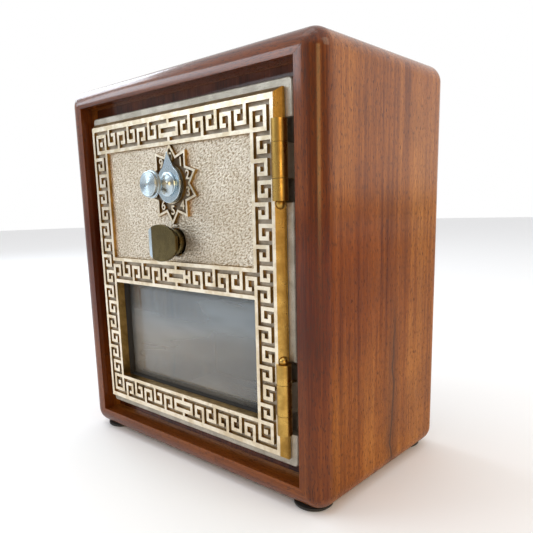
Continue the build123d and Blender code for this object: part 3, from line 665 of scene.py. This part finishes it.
board("left_board", "left_side", Vector((1, 0, 0)), "upright")
board("right_board", "right_side", Vector((-1, 0, 0)), "upright")
board("top_board", "top", Vector((0, 0, -1)), "level")
board("bottom_board", "bottom", Vector((0, 0, 1)), "level")
frame_piece = finished("door_frame", "door_frame_cast", "case", "frame_metal", 0.25 * MM, "frame", "brass")
paint_faces(frame_piece, in_front_of_frame, 1)
door_casting()
panel_skin()
for number in range(star_points):
    numeral(number)
finished("pointer", "dial_pointer", "dial", "nickel", 0.12 * MM, "nickel", steps=3)
turned_knob()
thumb_turn()
bolt_spring_coil()

plain = {
    "front_panel": "panel", "back_panel": "panel",
    "rubber_feet": "rubber", "window_gasket": "rubber",
    "foot_screws": "steel", "frame_screws": "steel", "retainer_screws": "steel",
    "case_screws": "steel", "cover_screws": "steel",
    "upper_hinge_pin": "brass", "lower_hinge_pin": "brass",
    "window_glass": "glass", "glass_retainer": "steel",
    "lock_case": "brass", "lock_cover": "brass",
    "dial_spindle": "steel", "drive_wheel": "brass",
    "front_tumbler_wheel": "brass", "middle_tumbler_wheel": "brass", "rear_tumbler_wheel": "brass",
    "wheel_washers": "steel", "spindle_clip": "steel",
    "latch_spindle": "bronze", "latch_crank": "steel", "latch_bolt": "steel",
}
for node, material in plain.items():
    dress(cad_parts[node], material)


# ---------------------------------------------------------------- stage, lights and camera


def floor():
    radius = 4.0
    bm = bmesh.new()
    bmesh.ops.create_circle(bm, cap_ends=True, radius=radius, segments=96)
    mesh = bpy.data.meshes.new("floor")
    bm.to_mesh(mesh)
    bm.free()
    piece = bpy.data.objects.new("floor", mesh)
    scene.collection.objects.link(piece)
    s = Shader("pale_floor")
    mesh.materials.append(s.finish(Base_Color=rgb(0.95, 0.95, 0.95), Roughness=0.7))


def lamp(name, place, size, power, colour):
    """Soft rectangular light that faces the box."""
    light = bpy.data.lights.new(name, "AREA")
    light.shape = "RECTANGLE"
    light.size, light.size_y = size
    light.energy = power
    light.color = colour
    holder = bpy.data.objects.new(name, light)
    holder.location = place
    aim = Vector((0, 0, 0.1)) - Vector(place)
    holder.rotation_euler = aim.to_track_quat("-Z", "Y").to_euler()
    scene.collection.objects.link(holder)


def surroundings():
    """A pale room, bright to the left and behind, with a darker brown part at the right front.

    It is not even studio light: its colours were set for the reflections in the main view."""
    world = bpy.data.worlds.new("studio")
    world.use_nodes = True
    tree = world.node_tree
    background = tree.nodes["Background"]
    coords = tree.nodes.new("ShaderNodeTexCoord")
    split = tree.nodes.new("ShaderNodeSeparateXYZ")
    tree.links.new(coords.outputs["Generated"], split.inputs[0])

    def fade(axis, low, high):
        made = tree.nodes.new("ShaderNodeMapRange")
        made.interpolation_type = "SMOOTHSTEP"
        made.inputs["From Min"].default_value = low
        made.inputs["From Max"].default_value = high
        tree.links.new(split.outputs[axis], made.inputs["Value"])
        return made.outputs["Result"]

    def blend(share, first, second):
        made = tree.nodes.new("ShaderNodeMix")
        made.data_type = "RGBA"
        tree.links.new(share, made.inputs[0])
        for socket, value in ((made.inputs[6], first), (made.inputs[7], second)):
            if isinstance(value, bpy.types.NodeSocket):
                tree.links.new(value, socket)
            else:
                socket.default_value = value
        return made.outputs[2]

    left_side = blend(fade("Y", -0.35, 0.30), rgb(0.52, 0.535, 0.55), rgb(1.0, 1.0, 1.0))
    right_back = blend(fade("Z", -0.03, 0.05), rgb(0.20, 0.15, 0.10), rgb(0.90, 0.87, 0.88))
    right_side = blend(fade("Y", 0.0, 0.45), rgb(0.34, 0.28, 0.22), right_back)
    around = blend(fade("X", -0.30, 0.25), left_side, right_side)
    overhead = blend(fade("Z", 0.35, 0.80), around, rgb(0.86, 0.87, 0.89))
    tree.links.new(overhead, background.inputs["Color"])
    background.inputs["Strength"].default_value = 1.0
    scene.world = world
    lamp("window_light", (-1.15, -1.0, 0.75), (0.9, 0.5), 7.0, (0.80, 0.90, 1.0))
    lamp("ceiling_light", (-0.2, -0.3, 1.5), (1.0, 1.0), 3.5, (0.95, 0.98, 1.0))
    lamp("high_window", (-1.15, 0.05, 0.85), (0.7, 0.4), 5.0, (0.78, 0.89, 1.0))
    lamp("room_light", (1.2, 0.1, 0.9), (0.7, 0.7), 3.5, (1.0, 0.84, 0.62))
    lamp("golden_light", (0.95, -0.70, 0.32), (0.34, 0.60), 2.5, (1.0, 0.66, 0.26))


def camera():
    """The photograph's point of view, above the middle of the box and to its right."""
    tilt, roll, heading = 79.37, 1.49, 42.04
    view = bpy.data.cameras.new("camera")
    view.lens = 36.94
    view.sensor_width = 36.0
    view.shift_x = 0.006
    view.shift_y = 0.076
    view.clip_start = 0.01
    holder = bpy.data.objects.new("camera", view)
    holder.location = (0.2161, -0.2197, 0.1351)
    holder.rotation_euler = [math.radians(a) for a in (tilt, roll, heading)]
    scene.collection.objects.link(holder)
    scene.camera = holder


floor()
surroundings()
camera()
scene.view_settings.view_transform = "Standard"
